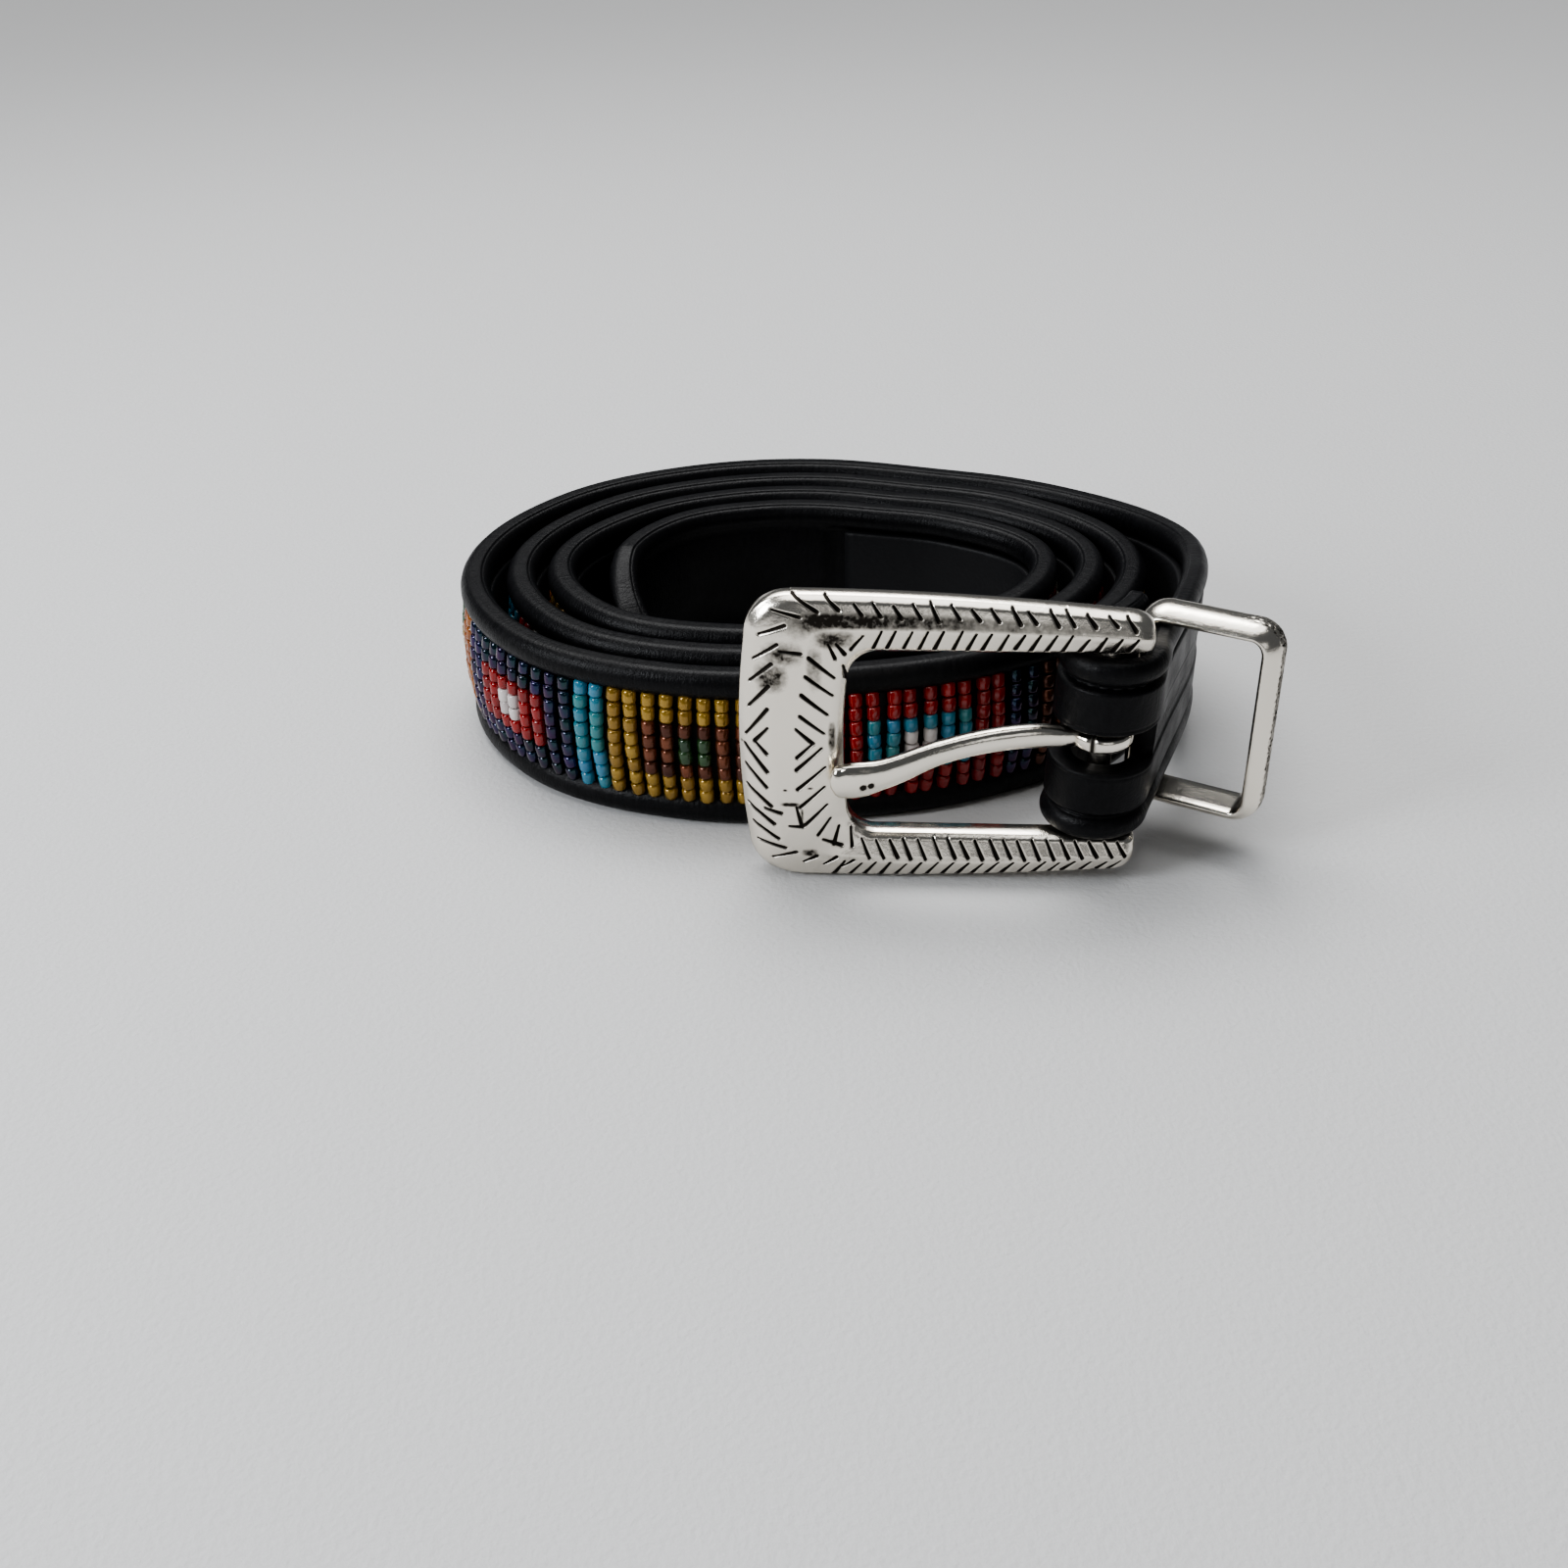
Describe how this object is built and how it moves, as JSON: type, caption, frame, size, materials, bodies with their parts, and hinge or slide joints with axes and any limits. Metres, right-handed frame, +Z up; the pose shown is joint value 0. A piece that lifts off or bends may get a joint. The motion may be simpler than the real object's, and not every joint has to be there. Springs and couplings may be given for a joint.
{
  "type": "beaded belt",
  "caption": "Narrow leather belt with a woven bead band, coiled on its edge, with a silver pin buckle and a silver keeper loop.",
  "frame": {"origin": "on the surface the belt stands on, under the middle of its bounding box", "axes": "+X to the right along the coil's length, -Y towards the viewer and the buckle, +Z up"},
  "size_m": [0.105, 0.0926, 0.0373],
  "materials": {
    "leather": "black calf leather, fine grain, semi-gloss",
    "lining": "black lining leather, matt",
    "beads": "glossy glass seed beads in several colours",
    "silver": "polished silver, engraved and darkened in the cuts",
    "polished_silver": "polished silver"
  },
  "bodies": {
    "belt": {"strap_leather": "leather", "strap_lining": "lining", "bead_band": "beads", "keeper_loop": "silver"},
    "buckle": {"buckle_frame": "silver"},
    "tongue": {"buckle_tongue": "polished_silver"}
  },
  "joints": [
    {"name": "buckle_swing", "type": "hinge", "parent": "belt", "child": "buckle", "pos_m": [0.03053, -0.04141, 0.0187], "axis": [0, 0, 1], "range_deg": [0, 80]},
    {"name": "tongue_swing", "type": "hinge", "parent": "buckle", "child": "tongue", "pos_m": [0.03053, -0.04141, 0.0187], "axis": [0, 0, 1], "range_deg": [0, 85]}
  ]
}
